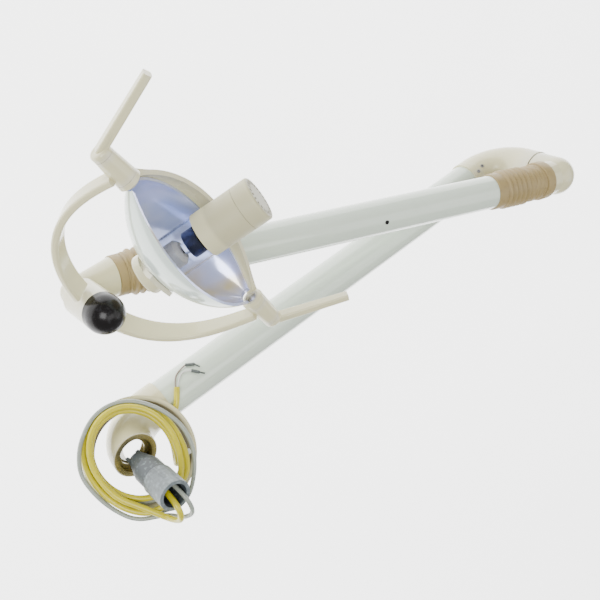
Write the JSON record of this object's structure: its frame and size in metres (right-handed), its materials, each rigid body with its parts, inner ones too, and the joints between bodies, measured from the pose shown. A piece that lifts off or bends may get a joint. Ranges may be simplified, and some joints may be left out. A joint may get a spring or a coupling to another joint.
{
  "type": "dental operating light",
  "caption": "Folding dental operating light: rigid arm with post socket, balanced spring arm, fork and tilting head with a curved reflector and a lamp.",
  "frame": {"origin": "centre of the post socket's mouth", "axes": "+Z out of the socket along the post, +X along the rigid arm towards the swivel, +Y to the side the spring arm is folded to"},
  "size_m": [0.76, 0.4834, 0.2302],
  "materials": {
    "cream_enamel": "smooth gloss",
    "white_enamel": "gloss",
    "yellow_zinc": "yellow passivated",
    "grey_plastic": "satin",
    "black_plastic": "gloss",
    "tan_rubber": "matt",
    "steel": "brushed",
    "bronze": "machined",
    "friction_pad": "matt",
    "spring_steel": "oiled",
    "cast_alloy": "machined",
    "dichroic_glass": "dichroic coating",
    "ceramic": "matt",
    "lamp_glass": "clear",
    "dark_chrome": "dark polished",
    "yellow_sheath": "satin",
    "grey_sheath": "satin",
    "wire_brown": "satin",
    "wire_white": "satin",
    "wire_green": "satin",
    "ferrule_grey": "satin"
  },
  "bodies": {
    "base_arm": {"socket_elbow": "cream_enamel", "socket_liner": "yellow_zinc", "post_bush": "grey_plastic", "rosette_cover": "cream_enamel", "earth_tag": "grey_plastic", "earth_wire": "wire_green", "rigid_arm_tube": "white_enamel", "distal_elbow": "cream_enamel", "elbow_screws": "steel", "swivel_pin": "steel", "yellow_lead": "yellow_sheath", "yellow_coil": "yellow_sheath", "yellow_tail": "yellow_sheath", "grey_lead": "grey_sheath", "grey_coil": "grey_sheath", "brown_wire": "wire_brown", "white_wire": "wire_white", "wire_ferrules": "ferrule_grey"},
    "knuckle": {"proximal_knuckle": "cream_enamel", "swivel_washer": "steel", "swivel_bush": "bronze", "swivel_screw": "steel", "proximal_pins": "steel"},
    "spring_arm": {"spring_arm_tube": "white_enamel", "spring_clevis_proximal": "cast_alloy", "spring_clevis_distal": "cast_alloy", "spring_rod": "steel", "spring_seat": "steel", "spring_plunger": "steel", "spring_nut": "steel", "balance_spring": "spring_steel", "stop_screw": "steel", "proximal_bellows": "tan_rubber", "distal_bellows": "tan_rubber"},
    "parallel_link": {"parallel_link": "steel"},
    "head_knuckle": {"distal_knuckle": "cream_enamel", "distal_pins": "steel", "hub_spindle": "steel", "spindle_nut": "steel", "friction_disc": "friction_pad"},
    "fork": {"fork_hub": "cream_enamel", "fork_arm_left": "cream_enamel", "fork_arm_right": "cream_enamel", "hub_cap": "black_plastic", "hub_bush": "bronze", "hub_washer": "steel"},
    "head": {"reflector": "dichroic_glass", "head_frame": "cream_enamel", "rear_boss": "cream_enamel", "lamp_base": "steel", "lamp_holder": "ceramic", "halogen_bulb": "lamp_glass", "bulb_shield": "dark_chrome", "glass_tube": "lamp_glass", "lamp_housing": "cream_enamel", "vent_cap": "cream_enamel", "pivot_shaft_left": "steel", "pivot_shaft_right": "steel", "handle_left": "cream_enamel", "handle_right": "cream_enamel"}
  },
  "joints": [
    {"name": "arm_swivel", "type": "hinge", "parent": "base_arm", "child": "knuckle", "pos_m": [0.674, 0, 0.0225], "axis": [0, 0, 1], "range_deg": [-270, 0]},
    {"name": "arm_lift", "type": "hinge", "parent": "knuckle", "child": "spring_arm", "pos_m": [0.62074, 0.01731, 0.053], "axis": [-0.309, -0.9511, 0], "range_deg": [-38, 25], "deforming": ["proximal_bellows", "distal_bellows"]},
    {"name": "link_swing", "type": "hinge", "parent": "knuckle", "child": "parallel_link", "pos_m": [0.62074, 0.01731, 0.04], "axis": [-0.309, -0.9511, 0], "range_deg": [-38, 25]},
    {"name": "head_level", "type": "hinge", "parent": "spring_arm", "child": "head_knuckle", "pos_m": [0.0846, 0.19151, -0.02422], "axis": [-0.309, -0.9511, 0], "range_deg": [-25, 38]},
    {"name": "fork_swivel", "type": "hinge", "parent": "head_knuckle", "child": "fork", "pos_m": [0.02753, 0.21005, 0.002], "axis": [0, 0, 1], "range_deg": [-150, 150]},
    {"name": "head_tilt", "type": "hinge", "parent": "fork", "child": "head", "pos_m": [0.12291, 0.24704, 0.0996], "axis": [-0.3616, 0.9323, 0], "range_deg": [-110, 110]}
  ],
  "couplings": [
    {"joint": "link_swing", "follows": "arm_lift", "ratio": 1},
    {"joint": "head_level", "follows": "arm_lift", "ratio": -1}
  ]
}
